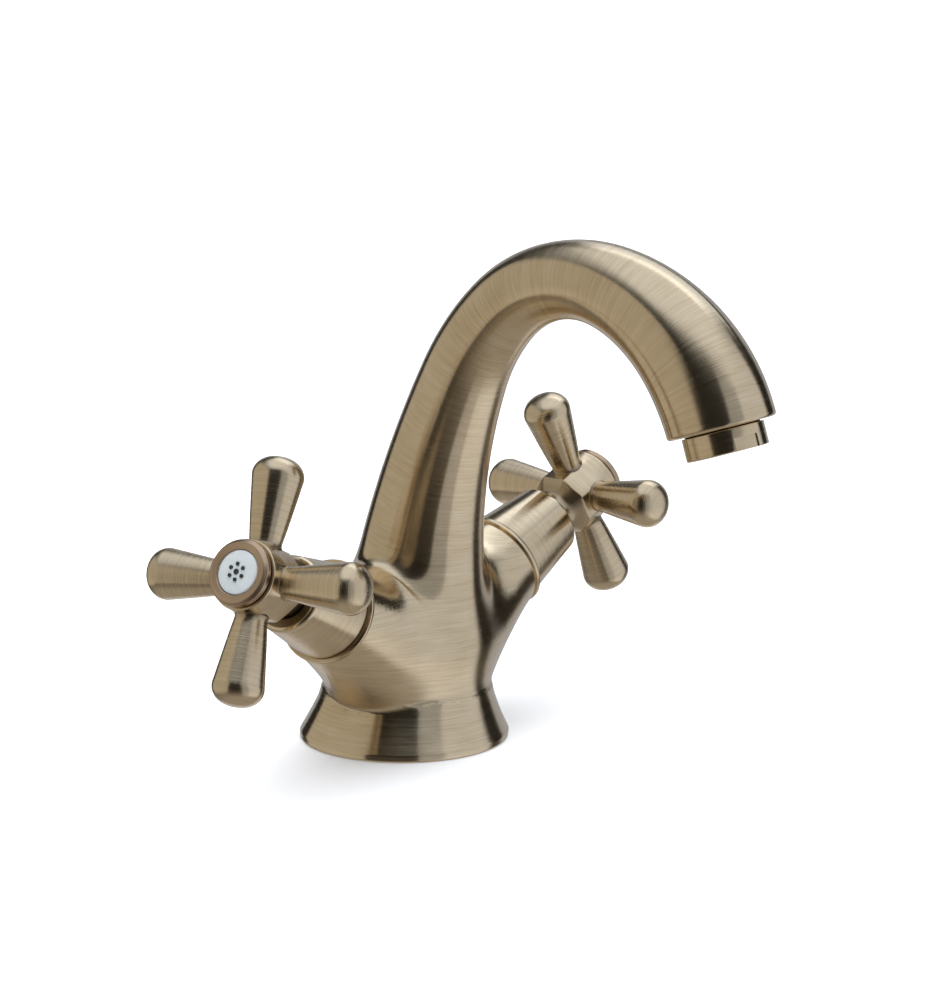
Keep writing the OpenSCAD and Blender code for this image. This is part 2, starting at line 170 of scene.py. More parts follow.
def arm_field(q, side):
    axis = np.array(valve_frame(side).to_3x3().col[2])
    out = np.array([axis[0], axis[1]]) / math.hypot(axis[0], axis[1])
    u = q[:, 0] * out[0] + q[:, 1] * out[1]
    w = q[:, 0] * out[1] - q[:, 1] * out[0]
    reach = ARM_END + 6
    start, bend = np.array([0.0, 10.0]), np.array([0.0, VALVE_Z])
    end = bend + reach * np.array([math.cos(VALVE_RISE), math.sin(VALVE_RISE)])
    steps = 48
    ts = np.linspace(0, 1, steps + 1)
    c = np.outer((1 - ts) ** 2, start) + np.outer(2 * ts * (1 - ts), bend) + np.outer(ts ** 2, end)
    length = np.concatenate([[0], np.cumsum(np.hypot(*np.diff(c, axis=0).T))])
    r0 = WAIST_R - 0.2
    r = r0 + (ARM_R - r0) * np.clip(length / (length[-1] - 6), 0, 1.2) ** 0.9
    d = np.sqrt((u[:, None] - c[:, 0]) ** 2 + (q[:, 2, None] - c[:, 1]) ** 2 + w[:, None] ** 2) - r
    i = np.clip(d.argmin(1), 1, steps - 1)
    rows = np.arange(len(q))
    a, b, e = d[rows, i - 1], d[rows, i], d[rows, i + 1]
    curve = np.maximum(a - 2 * b + e, 1e-9)
    shift = np.clip((a - e) / (2 * curve), -1, 1)
    best = b - (a - e) * shift / 4
    h = (q - np.array([0, 0, VALVE_Z])) @ axis
    return np.maximum(best, h - ARM_END - 0.9)


def foot_r(z):
    rise = WAIST_Z - FOOT_SIDE
    return WAIST_R + (FOOT_R - WAIST_R) * np.clip(1 - (z - FOOT_SIDE) / rise, 0, 1) ** 1.25


def lead(x, z):
    """How far the waist and belly stand forward of the axis, in mm."""
    return 1.1 * smooth(z / 16) * (1 - smooth((z - 24) / 34)) * (1 - smooth((np.abs(x) - 18) / 20))


def field(q):
    q = q + np.stack([0 * q[:, 0], lead(q[:, 0], q[:, 2]), 0 * q[:, 0]], 1)
    s, d = on_spine(q)
    tube = d - tube_r(s)
    z = q[:, 2]
    softness = smooth((z - 13) / 16)
    arms = soft_min(arm_field(q, -1), arm_field(q, 1), 0.4 + 5.6 * softness)
    body = soft_min(tube, arms, 0.4 + 11.6 * softness)
    foot = np.maximum((np.hypot(q[:, 0], q[:, 1]) - foot_r(z)) * 0.93, z - WAIST_Z)
    return soft_min(body, foot, 1.6)


def slope(f, q, step=0.05):
    g = np.zeros_like(q)
    for k in range(3):
        e = np.zeros(3)
        e[k] = step
        g[:, k] = f(q + e) - f(q - e)
    return g / (2 * step)


def surface_net(f, low, high, step):
    """Quads on the zero surface of f, with the points moved onto it."""
    n = np.ceil((np.array(high) - low) / step).astype(int) + 1
    axes = [low[k] + step * np.arange(n[k]) for k in range(3)]
    grid = np.stack(np.meshgrid(*axes, indexing="ij"), -1).reshape(-1, 3)
    value = np.concatenate([f(part) for part in np.array_split(grid, 24)]).reshape(n)
    inside = value < 0
    cells = n - 1
    total = np.zeros(cells, int)
    for dx in (0, 1):
        for dy in (0, 1):
            for dz in (0, 1):
                total += inside[dx:dx + cells[0], dy:dy + cells[1], dz:dz + cells[2]]
    used = (total > 0) & (total < 8)
    index = np.full(cells, -1)
    index[used] = np.arange(used.sum())
    base = np.argwhere(used)
    points, weight = np.zeros((len(base), 3)), np.zeros(len(base))
    corners = [(0, 0), (0, 1), (1, 0), (1, 1)]
    for k in range(3):
        for i, j in corners:
            a = base.copy()
            others = [m for m in range(3) if m != k]
            a[:, others[0]] += i
            a[:, others[1]] += j
            b = a.copy()
            b[:, k] += 1
            va, vb = value[tuple(a.T)], value[tuple(b.T)]
            cross = (va < 0) != (vb < 0)
            t = np.where(cross, va / np.where(cross, va - vb, 1), 0)
            p = a.astype(float)
            p[:, k] += t
            points[cross] += p[cross]
            weight += cross
    points = low + step * points / weight[:, None]
    quads = []
    for k in range(3):
        a, b = [m for m in range(3) if m != k]
        lower = np.take(inside, range(n[k] - 1), k)
        upper = np.take(inside, range(1, n[k]), k)
        for enters in (True, False):
            edge = np.argwhere((lower & ~upper) if enters else (~lower & upper))
            in_a = (edge[:, a] > 0) & (edge[:, a] < cells[a])
            in_b = (edge[:, b] > 0) & (edge[:, b] < cells[b])
            edge = edge[in_a & in_b]
            ring = []
            for i, j in [(0, 0), (-1, 0), (-1, -1), (0, -1)]:
                c = edge.copy()
                c[:, a] += i
                c[:, b] += j
                ring.append(index[tuple(c.T)])
            quad = np.stack(ring, 1)
            quads.append(quad if enters == (k != 1) else quad[:, ::-1])
    quads = np.concatenate(quads)
    for _ in range(3):
        value = f(points)
        g = slope(f, points)
        move = -value[:, None] * g / np.maximum((g ** 2).sum(1), 1e-6)[:, None]
        points += np.clip(move, -0.4 * step, 0.4 * step)
    return points, quads


# ---------------------------------------------------------------- meshes
def unit(v):
    return v / np.maximum(np.linalg.norm(v, axis=-1, keepdims=True), 1e-9)


def add_mesh(name, points, faces, normals=None, along=None, grain=None, recess=None, matrix=None):
    """A mesh object from points in mm. along is the direction across the brushing, grain the distance
    along it in mm, and the one after them how sunk a point is from -1 on edges to 1 in corners; it lightens
    worn edges and darkens the brass as patina in hollows and as painted shade in sheltered places and gaps."""
    mesh = bpy.data.meshes.new(name)
    mesh.from_pydata((np.asarray(points) * MM).tolist(), [], [list(map(int, f)) for f in faces])
    mesh.validate()
    mesh.update()
    mesh.shade_smooth()
    count = len(mesh.vertices)
    for key, kind, value in (("along", "FLOAT_VECTOR", along), ("grain", "FLOAT", grain),
                             ("recess", "FLOAT", recess)):
        if value is not None:
            layer = mesh.attributes.new(key, kind, "POINT")
            field_name = "vector" if kind == "FLOAT_VECTOR" else "value"
            layer.data.foreach_set(field_name, np.asarray(value, np.float32).ravel()[:count * 3])
    if normals is not None:
        mesh.normals_split_custom_set_from_vertices(np.asarray(normals).tolist())
    obj = bpy.data.objects.new(name, mesh)
    bpy.context.scene.collection.objects.link(obj)
    if matrix is not None:
        placed = matrix.copy()
        placed.translation = placed.translation * MM
        obj.matrix_world = placed
    return obj


def outline(corners, arc_steps=6):
    """A lathe profile from [(r, h, fillet)]: each point as (r, h, normal r, normal h, recess).
    The outside lies to the right of the direction of travel."""
    pts = [np.array(c[:2], float) for c in corners]
    out = []
    last = len(pts) - 1
    for i, corner in enumerate(corners):
        fillet = corner[2] if len(corner) > 2 else 0
        if i in (0, last):
            d = unit(pts[1] - pts[0]) if i == 0 else unit(pts[last] - pts[last - 1])
            out.append((*pts[i], d[1], -d[0], 0))
            continue
        a, b = unit(pts[i] - pts[i - 1]), unit(pts[i + 1] - pts[i])
        turn = math.atan2(a[0] * b[1] - a[1] * b[0], float(a @ b))
        if fillet <= 0 or abs(turn) < 1e-4:
            la, lb = np.linalg.norm(pts[i] - pts[i - 1]), np.linalg.norm(pts[i + 1] - pts[i])
            d = unit(a / la + b / lb)
            out.append((*pts[i], d[1], -d[0], 0))
            continue
        cut = fillet * math.tan(abs(turn) / 2)
        start = pts[i] - a * cut
        sign = 1 if turn > 0 else -1
        centre = start + fillet * sign * np.array([-a[1], a[0]])
        for k in range(arc_steps + 1):
            t = turn * k / arc_steps
            v = start - centre
            cos, sin = math.cos(t), math.sin(t)
            p = centre + np.array([v[0] * cos - v[1] * sin, v[0] * sin + v[1] * cos])
            d = np.array([a[0] * cos - a[1] * sin, a[0] * sin + a[1] * cos])
            out.append((*p, d[1], -d[0], -sign * math.sin(math.pi * (k + 0.5) / (arc_steps + 1))))
    return out


def lathe(name, profile, matrix, sides=96):
    """Turns a profile from outline() about local Z."""
    prof = np.array(profile, float)
    angle = np.arange(sides) * 2 * math.pi / sides
    cos, sin = np.cos(angle), np.sin(angle)
    points, normals, along, grain, recess, faces, rows = [], [], [], [], [], [], []
    length = np.concatenate([[0], np.cumsum(np.hypot(*np.diff(prof[:, :2], axis=0).T))])
    for (r, h, nr, nh, deep), g in zip(prof, length):
        if r < 1e-6:
            rows.append([len(points)])
            points.append((0, 0, h))
            normals.append((0, 0, 1 if nh > 0 else -1))
            along.append((1, 0, 0))
            grain.append(g)
            recess.append(deep)
            continue
        rows.append(list(range(len(points), len(points) + sides)))
        points += list(zip(r * cos, r * sin, np.full(sides, h)))
        normals += list(zip(nr * cos, nr * sin, np.full(sides, nh)))
        along += list(zip(-nh * cos, -nh * sin, np.full(sides, nr)))
        grain += [g] * sides
        recess += [deep] * sides
    for a, b in zip(rows[:-1], rows[1:]):
        for k in range(sides):
            m = (k + 1) % sides
            if len(a) == 1:
                faces.append((a[0], b[m], b[k]))
            elif len(b) == 1:
                faces.append((a[k], a[m], b[0]))
            else:
                faces.append((a[k], a[m], b[m], b[k]))
    return add_mesh(name, points, faces, normals, along, grain, recess, matrix)


# ---------------------------------------------------------------- materials
def shader(name):
    material = bpy.data.materials.new(name)
    material.use_nodes = True
    return material, material.node_tree.nodes, material.node_tree.links


def ramp(nodes, links, source, stops):
    node = nodes.new("ShaderNodeValToRGB")
    links.new(source, node.inputs["Fac"])
    while len(node.color_ramp.elements) < len(stops):
        node.color_ramp.elements.new(0.5)
    for element, (at, value) in zip(node.color_ramp.elements, stops):
        element.position = at
        element.color = (*value, 1) if isinstance(value, tuple) else (value, value, value, 1)
    return node.outputs["Color"]


def math_node(nodes, links, operation, a, b, clamp=False):
    node = nodes.new("ShaderNodeMath")
    node.operation, node.use_clamp = operation, clamp
    for k, value in enumerate((a, b)):
        if isinstance(value, (int, float)):
            node.inputs[k].default_value = value
        else:
            links.new(value, node.inputs[k])
    return node.outputs[0]


def noise(nodes, links, vector, scale, detail, roughness=0.55):
    node = nodes.new("ShaderNodeTexNoise")
    node.inputs["Scale"].default_value = scale
    node.inputs["Detail"].default_value = detail
    node.inputs["Roughness"].default_value = roughness
    links.new(vector, node.inputs["Vector"])
    return node.outputs["Fac"]


def blend(nodes, links, factor, a, b):
    node = nodes.new("ShaderNodeMix")
    node.data_type = "RGBA"
    links.new(factor, node.inputs["Factor"])
    for key, value in (("A", a), ("B", b)):
        socket = [s for s in node.inputs if s.name == key and s.type == "RGBA"][0]
        if isinstance(value, tuple):
            socket.default_value = (*value, 1)
        else:
            links.new(value, socket)
    return [s for s in node.outputs if s.type == "RGBA"][0]


def brushed_metal(name, light, mid, dark, rough, aniso=0.8):
    """Brushed metal: lines run across the piece's along direction, with patina and painted shade darkening
    its corners, sheltered places and gaps, and lighter worn edges.
    """
    material, nodes, links = shader(name)
    bsdf = nodes["Principled BSDF"]
    bsdf.inputs["Metallic"].default_value = 1
    bsdf.inputs["Anisotropic"].default_value = aniso
    grain = nodes.new("ShaderNodeAttribute")
    grain.attribute_name = "grain"
    place = nodes.new("ShaderNodeTexCoord").outputs["Object"]
    stretch = nodes.new("ShaderNodeVectorMath")
    stretch.operation = "MULTIPLY"
    stretch.inputs[1].default_value = (70, 70, 70)
    links.new(place, stretch.inputs[0])
    split = nodes.new("ShaderNodeSeparateXYZ")
    links.new(stretch.outputs[0], split.inputs[0])

    def lines(fine, detail):
        join = nodes.new("ShaderNodeCombineXYZ")
        links.new(math_node(nodes, links, "MULTIPLY", grain.outputs["Fac"], fine), join.inputs[0])
        links.new(split.outputs[0], join.inputs[1])
        wide = math_node(nodes, links, "ADD", split.outputs[1], split.outputs[2])
        links.new(wide, join.inputs[2])
        return noise(nodes, links, join.outputs[0], 1.0, detail)

    fine, coarse = lines(5.0, 3), lines(1.1, 4)
    mottle = noise(nodes, links, place, 90, 4)
    patches = noise(nodes, links, place, 22, 3)
    tone = math_node(nodes, links, "ADD", math_node(nodes, links, "MULTIPLY", fine, 0.4),
                     math_node(nodes, links, "MULTIPLY", coarse, 0.3))
    tone = math_node(nodes, links, "ADD", tone, math_node(nodes, links, "MULTIPLY", mottle, 0.25))
    tone = math_node(nodes, links, "ADD", tone, math_node(nodes, links, "MULTIPLY", patches, 0.25))
    colour = ramp(nodes, links, tone, [(0.36, dark), (0.54, mid), (0.76, light)])
    recess = nodes.new("ShaderNodeAttribute")
    recess.attribute_name = "recess"
    # patina and painted shade: where the attribute is above 0 the colour darkens towards a deep brown, for
    # patina in the casting's hollows and for painted shade at the shroud's base and end face, the hub's neck
    # and the arm roots; where it is below 0, worn edges lighten
    patina_and_painted_shade = math_node(nodes, links, "MULTIPLY", recess.outputs["Fac"], 0.8, True)
    worn = math_node(nodes, links, "MULTIPLY", recess.outputs["Fac"], -0.5, True)
    colour = blend(nodes, links, patina_and_painted_shade, colour, tuple(0.35 * c for c in dark))
    colour = blend(nodes, links, worn, colour, tuple(min(1, 1.15 * c) for c in light))
    links.new(colour, bsdf.inputs["Base Color"])
    spread = math_node(nodes, links, "MULTIPLY_ADD", fine, 0.16)
    spread.node.inputs[2].default_value = rough - 0.08
    links.new(math_node(nodes, links, "ADD", spread, math_node(nodes, links, "MULTIPLY", patina_and_painted_shade, 0.15)),
              bsdf.inputs["Roughness"])
    bump = nodes.new("ShaderNodeBump")
    bump.inputs["Strength"].default_value = 0.12
    bump.inputs["Distance"].default_value = 0.0002
    links.new(fine, bump.inputs["Height"])
    links.new(bump.outputs["Normal"], bsdf.inputs["Normal"])
    along = nodes.new("ShaderNodeAttribute")
    along.attribute_name = "along"
    turn = nodes.new("ShaderNodeVectorTransform")
    turn.vector_type, turn.convert_from, turn.convert_to = "VECTOR", "OBJECT", "WORLD"
    links.new(along.outputs["Vector"], turn.inputs[0])
    links.new(turn.outputs[0], bsdf.inputs["Tangent"])
    return material


def plain_finish(name, colour, rough, metallic=0.0, coat=0.0, vary=0.08, scale=300, bump_depth=0.00005):
    """Enamel, rubber, ceramic, plastic or steel: one colour broken up by fine mottling."""
    material, nodes, links = shader(name)
    bsdf = nodes["Principled BSDF"]
    bsdf.inputs["Metallic"].default_value = metallic
    bsdf.inputs["Coat Weight"].default_value = coat
    place = nodes.new("ShaderNodeTexCoord").outputs["Object"]
    mottle = noise(nodes, links, place, scale, 4)
    low, high = tuple(c * (1 - vary) for c in colour), tuple(min(1, c * (1 + vary)) for c in colour)
    links.new(ramp(nodes, links, mottle, [(0.3, low), (0.7, high)]), bsdf.inputs["Base Color"])
    spread = math_node(nodes, links, "MULTIPLY_ADD", mottle, 0.12)
    spread.node.inputs[2].default_value = rough - 0.06
    links.new(spread, bsdf.inputs["Roughness"])
    bump = nodes.new("ShaderNodeBump")
    bump.inputs["Strength"].default_value = 0.15
    bump.inputs["Distance"].default_value = bump_depth
    links.new(mottle, bump.inputs["Height"])
    links.new(bump.outputs["Normal"], bsdf.inputs["Normal"])
    return material


BRASS_TONES = (0.80, 0.67, 0.47), (0.68, 0.54, 0.35), (0.50, 0.385, 0.235)
BRASS = brushed_metal("antique_brass", *BRASS_TONES, 0.20)
TURNED = brushed_metal("turned_brass", *BRASS_TONES, 0.25, 0.45)
BRONZE = brushed_metal("bronze", (0.62, 0.46, 0.31), (0.50, 0.36, 0.24), (0.34, 0.24, 0.15), 0.32)
PLAIN = plain_finish("plain_brass", (0.72, 0.56, 0.30), 0.35, metallic=1.0)
STEEL = plain_finish("steel", (0.58, 0.58, 0.57), 0.3, metallic=1.0)
ENAMEL = plain_finish("white_enamel", (0.47, 0.51, 0.52), 0.2, coat=0.4, vary=0.05)
BLACK = plain_finish("black_enamel", (0.012, 0.014, 0.013), 0.3, coat=0.3)
CERAMIC = plain_finish("ceramic", (0.72, 0.68, 0.60), 0.25, vary=0.04)
RUBBER = plain_finish("rubber", (0.02, 0.02, 0.02), 0.7)
PLASTIC = plain_finish("white_plastic", (0.76, 0.74, 0.68), 0.4, vary=0.04)
FINISH = {"antique_brass": BRASS, "plain_brass": PLAIN, "bronze": BRONZE, "white_enamel": ENAMEL,
          "black_enamel": BLACK, "steel": STEEL, "ceramic": CERAMIC, "white_plastic": PLASTIC,
          "rubber": RUBBER}


def finished(obj, material, body, nodes):
    obj.data.materials.clear()
    obj.data.materials.append(material)
    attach(obj, body)
    if nodes:
        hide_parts(*nodes)
    return obj


# ---------------------------------------------------------------- the casting
def joined(parts):
    """Several (points, faces, normals, along, grain, recess) as one."""
    start, out = 0, [[], [], [], [], [], []]
    for points, faces, normals, along, grain, recess in parts:
        for k, value in enumerate((points, None, normals, along, grain, recess)):
            if k != 1:
                out[k].append(np.asarray(value, float))
        out[1] += [[i + start for i in f] for f in faces]
        start += len(points)
    return [out[1] if k == 1 else np.concatenate(out[k]) for k in range(6)]


def heading_at(q):
    s, _ = on_spine(q)
    _, h = spine(s)
    return s, np.stack([np.zeros(len(h)), -np.sin(h), np.cos(h)], 1)


def skin_facts(q, normals):
    """Direction across the brushing, distance along it and sunkenness on the casting's skin."""
    s, d = heading_at(q)
    across = unit(d - normals * (d * normals).sum(1, keepdims=True))
    step = 0.8
    bend = field(q + normals * step) + field(q - normals * step)
    return across, s, np.clip(bend / step * -1.2, -1, 1)


LOFT_FROM, LIP, BORE_R, BORE_DEEP = 58.0, 1.0, 9.5, 11


def lower_casting():
    low, high = np.array([-46.0, -32.0, 10.5]), np.array([46.0, 32.0, 78.0])
    points, faces = surface_net(field, low, high, 0.9)
    s, _ = on_spine(points)
    keep = (s < LOFT_FROM + 1.2) & (points[:, 2] > CAST_FROM)
    faces = faces[keep[faces].all(1)]
    used = np.unique(faces)
    number = np.full(len(points), -1)
    number[used] = np.arange(len(used))
    points, faces = points[used], number[faces]
    normals = unit(slope(field, points))
    return (points, faces.tolist(), normals, *skin_facts(points, normals))


def ring_points(s, r, sides):
    at, h = spine([s])
    a = np.arange(sides) * 2 * math.pi / sides
    radial = np.stack([np.cos(a), -np.sin(a) * math.cos(h[0]), -np.sin(a) * math.sin(h[0])], 1)
    heading = np.array([0, -math.sin(h[0]), math.cos(h[0])])
    return np.array([0, *at[0]]) + r * radial, radial, heading


def strip(rows, sides, flip=False):
    faces = []
    for i in range(rows - 1):
        for k in range(sides):
            m = (k + 1) % sides
            f = (i * sides + k, i * sides + m, (i + 1) * sides + m, (i + 1) * sides + k)
            faces.append(f[::-1] if flip else f)
    return faces


def spout_loft():
    sides, rows = 112, 118
    end = LENGTH - LIP
    points, normals, grain, along = [], [], [], []
    for s in np.linspace(LOFT_FROM, end, rows):
        tuck = 0.04 * (1 - smooth((s - LOFT_FROM) / 2.0))
        p, radial, heading = ring_points(s, float(tube_r(s)) - tuck, sides)
        grow = float(tube_r(s + 0.1) - tube_r(s - 0.1)) / 0.2
        n = unit(radial - grow * heading)
        points.append(p)
        normals.append(n)
        along.append(unit(heading + grow * radial))
        grain.append(np.full(sides, s))
    # the rounded lip, the flat of the mouth and the bore: radius, height, normal outwards, normal along
    lip_rows = []
    for angle in (15, 30, 45, 60, 75, 90):
        cos, sin = math.cos(rad(angle)), math.sin(rad(angle))
        lip_rows.append((MOUTH_R - LIP * (1 - cos), -LIP * (1 - sin), cos, sin))
    lip_rows += [(MOUTH_R - 2.5, 0, 0, 1), (BORE_R + 0.5, 0, 0, 1), (BORE_R + 0.35, -0.1, -0.4, 0.9),
                 (BORE_R, -0.5, -1, 0), (BORE_R, -BORE_DEEP, -1, 0)]
    for r, back_by, nr, nh in lip_rows:
        p, radial, heading = ring_points(LENGTH, r, sides)
        points.append(p + back_by * heading)
        normals.append(unit(nr * radial + nh * heading))
        along.append(unit(nr * heading - nh * radial))
        grain.append(np.full(sides, LENGTH + (MOUTH_R - r)))
    rows = len(points)
    return (np.concatenate(points), strip(rows, sides, flip=True), np.concatenate(normals),
            np.concatenate(along), np.concatenate(grain), np.zeros(rows * sides))


def foot_shell():
    sides = 144
    heights = np.linspace(FOOT_SIDE, FOOT_TUCKS + 1.0, 20)
    radii = []
    for a in (0, 22.5, 45, 67.5, 90):
        radii.append((FOOT_R - FOOT_EDGE * (1 - math.sin(rad(a))), FOOT_EDGE * (1 - math.cos(rad(a))),
                      math.sin(rad(a)), -math.cos(rad(a)), -0.6))
    e = 0.05
    for r, z in zip(foot_r(heights), heights):
        grow = float(foot_r(z + e) - foot_r(z - e)) / (2 * e) if z > FOOT_SIDE + e else 0.0
        tuck = 0.05 * smooth(z - FOOT_TUCKS)
        n = unit(np.array([1, -grow]))
        radii.append((r - tuck, z, n[0], n[1], 0.0))
    under = [(GASKET_IN, 0, 0, -1, 0.4), (GASKET_IN, GASKET_DEEP, 1, 0, 0.6),
             (GASKET_OUT, GASKET_DEEP, -1, 0, 0.6), (GASKET_OUT, 0, 0, -1, 0.3)]
    rows = under + radii
    a = np.arange(sides) * 2 * math.pi / sides
    points, normals, along, grain, recess = [], [], [], [], []
    for r, z, nr, nz, deep in rows:
        x = r * np.cos(a)
        points.append(np.stack([x, r * np.sin(a) - lead(x, z), np.full(sides, z)], 1))
        normals.append(np.stack([nr * np.cos(a), nr * np.sin(a), np.full(sides, nz)], 1))
        along.append(np.stack([-nz * np.cos(a), -nz * np.sin(a), np.full(sides, nr)], 1))
        grain.append(np.full(sides, z - WAIST_Z + (0 if z > 0 else r)))
        recess.append(np.full(sides, deep))
    return (np.concatenate(points), strip(len(rows), sides), np.concatenate(normals),
            np.concatenate(along), np.concatenate(grain), np.concatenate(recess))


def underside():
    """The disc inside the gasket's groove, drilled for two inlets and the fixing stud."""
    holes = [(9.0, 4.0, 4.5, 14.0), (-9.0, 4.0, 4.5, 14.0), (0.0, -9.5, 3.4, 16.0)]
    rim, hole_sides = 72, 40
    loops = []
    for x, y, r, count in [(0, 0, GASKET_IN, rim)] + [(x, y, r, hole_sides) for x, y, r, _ in holes]:
        angles = [2 * math.pi * k / count for k in range(count)]
        loops.append([(x + r * math.cos(a), y + r * math.sin(a)) for a in angles])
    verts, edges = [], []
    for loop in loops:
        start = len(verts)
        verts += [Vector(p) for p in loop]
        edges += [(start + k, start + (k + 1) % len(loop)) for k in range(len(loop))]
    flat, _, tris, _, _, _ = delaunay_2d_cdt(verts, edges, [], 0, 1e-5)
    points = [(v.x, v.y, 0.0) for v in flat]
    faces = []
    for tri in tris:
        c = sum((flat[i] for i in tri), Vector((0, 0))) / 3
        if all(math.hypot(c.x - x, c.y - y) > r * 0.995 for x, y, r, _ in holes) and c.length < GASKET_IN:
            faces.append(list(tri)[::-1])
    normals = [(0, 0, -1)] * len(points)
    along = [(1, 0, 0)] * len(points)
    grain = [v.x for v in flat]
    for x, y, r, depth in holes:
        start = len(points)
        for z in (0.0, depth):
            for k in range(hole_sides):
                a = 2 * math.pi * k / hole_sides
                points.append((x + r * math.cos(a), y + r * math.sin(a), z))
                normals.append((-math.cos(a), -math.sin(a), 0))
                along.append((0, 0, 1))
                grain.append(z)
        for k in range(hole_sides):
            m = (k + 1) % hole_sides
            faces.append([start + k, start + hole_sides + k, start + hole_sides + m, start + m])
        faces.append([start + hole_sides + k for k in range(hole_sides)][::-1])
    return (np.array(points), faces, np.array(normals, float), np.array(along, float), np.array(grain, float),
            np.full(len(points), 0.2))


casting = joined([lower_casting(), spout_loft(), foot_shell(), underside()])
body = add_mesh("casting", *casting)
finished(body, BRASS, "tap_body", ["body"])


# ---------------------------------------------------------------- aerator collar
def mouth_frame():
    return Matrix.Translation((0, *MOUTH)) @ Matrix.Rotation(MOUTH_HEADING, 4, "X")


COLLAR_R, COLLAR_H = 10.3, 6.2


def notched(obj, turns, half_width, depth, top):
    """Cuts wrench notches into the lower edge of the collar."""
    for turn in turns:
        m = Matrix.Rotation(rad(turn), 4, "Z")
        cutter_points = []
        for x in (COLLAR_R - 1.0, COLLAR_R + 2.0):
            for y in (-half_width, half_width):
                for z in (top - depth, top + 1):
                    cutter_points.append(tuple(m @ Vector((x, y, z))))
        faces = [(0, 1, 3, 2), (4, 6, 7, 5), (0, 4, 5, 1), (2, 3, 7, 6), (0, 2, 6, 4), (1, 5, 7, 3)]
        mesh = bpy.data.meshes.new("cutter")
        mesh.from_pydata([(x * MM, y * MM, z * MM) for x, y, z in cutter_points], [], faces)
        cutter = bpy.data.objects.new("cutter", mesh)
        bpy.context.scene.collection.objects.link(cutter)
        cutter.matrix_world = obj.matrix_world
        cut = obj.modifiers.new("notch", "BOOLEAN")
        cut.operation, cut.solver, cut.object = "DIFFERENCE", "EXACT", cutter
        bpy.context.view_layer.update()
        graph = bpy.context.evaluated_depsgraph_get()
        made = bpy.data.meshes.new_from_object(obj.evaluated_get(graph))
        obj.modifiers.clear()
        obj.data = made
        bpy.data.objects.remove(cutter)


collar_profile = outline([
    (8.9, -7.9, 0), (9.45, -7.9, 0.3), (9.45, 0.35, 0.0), (COLLAR_R, 0.35, 0.25), (COLLAR_R, COLLAR_H, 0.45),
    (8.6, COLLAR_H, 0.35), (8.3, COLLAR_H - 1.4, 0.1), (7.3, COLLAR_H - 1.4, 0.1), (7.3, 0, 0.1),
    (8.3, -1.5, 0.1), (8.3, -7.9, 0.2), (8.9, -7.9, 0)])
collar = lathe("aerator_collar", collar_profile, mouth_frame(), 96)
notched(collar, (115, 295), 3.3, 3.3, COLLAR_H)
finished(collar, BRASS, "tap_body", ["aerator_housing"])

# ---------------------------------------------------------------- valves and handles
RING_IN, RING_R, RING_END = 9.6, 13.7, 41.4
SHROUD_FROM, SHROUD_END, SHROUD_R1, SHROUD_R2, SHROUD_EYE, WALL = 41.45, 61.7, 12.6, 9.9, 6.75, 1.4
HUB_FROM, HUB_NECK, HUB_FLAT_H, HUB_ARMS, HUB_FLATS = 60.5, 6.3, 68.5, 74.65, 18.0
BELL_H, BELL_R, BELL_TOP, HUB_BORE = 76.5, 9.1, 81.9, 5.95
BEZEL_H, BEZEL_R, BEZEL_T, INDEX_R = 82.4, 8.5, 2.2, 5.55
REACH, ROOT_R, TIP_R = 31.7, 4.1, 6.6


def hub_rows():
    """(height, radius, corner share) of the hub: 1 is an octagon with rounded edges, 0 a circle."""
    flat = HUB_FLATS / 2
    rows = [(HUB_FROM, HUB_NECK - 0.3, 0), (HUB_FROM + 0.3, HUB_NECK, 0), (HUB_FROM + 3.6, HUB_NECK, 0)]
    for t in (0, 0.2, 0.4, 0.6, 0.8, 1):
        height = HUB_FROM + 4.4 + t * (HUB_FLAT_H - HUB_FROM - 4.9)
        rows.append((height, HUB_NECK + (flat - 0.3 - HUB_NECK) * t ** 1.3, 0.35 * t))
    rows += [(HUB_FLAT_H - 0.15, flat - 0.08, 0.85), (HUB_FLAT_H + 0.3, flat, 1), (HUB_FLAT_H + 3, flat, 1),
             (HUB_ARMS, flat, 1), (BELL_H - 0.4, flat, 1)]
    root = flat + 0.12
    for t in (0.05, 0.15, 0.3, 0.45, 0.6, 0.75, 0.9, 1):
        height = BELL_H + 0.1 + (BELL_TOP - 0.7 - BELL_H) * t
        rows.append((height, root + (BELL_R - root) * t ** 1.5, (1 - t) ** 2))
    return rows


def octagon_r(a, flat, share):
    """Radius of an octagon with softened corners at angle a; share 0 gives a circle of radius flat."""
    nearest = (a + math.pi / 8) % (math.pi / 4) - math.pi / 8
    corner = flat / np.cos(nearest)
    limit = flat * 1.07
    soft = -np.log(np.exp(-corner * 9 / flat * 4) + np.exp(-limit * 9 / flat * 4)) * flat / 36
    return flat + (soft - flat) * share


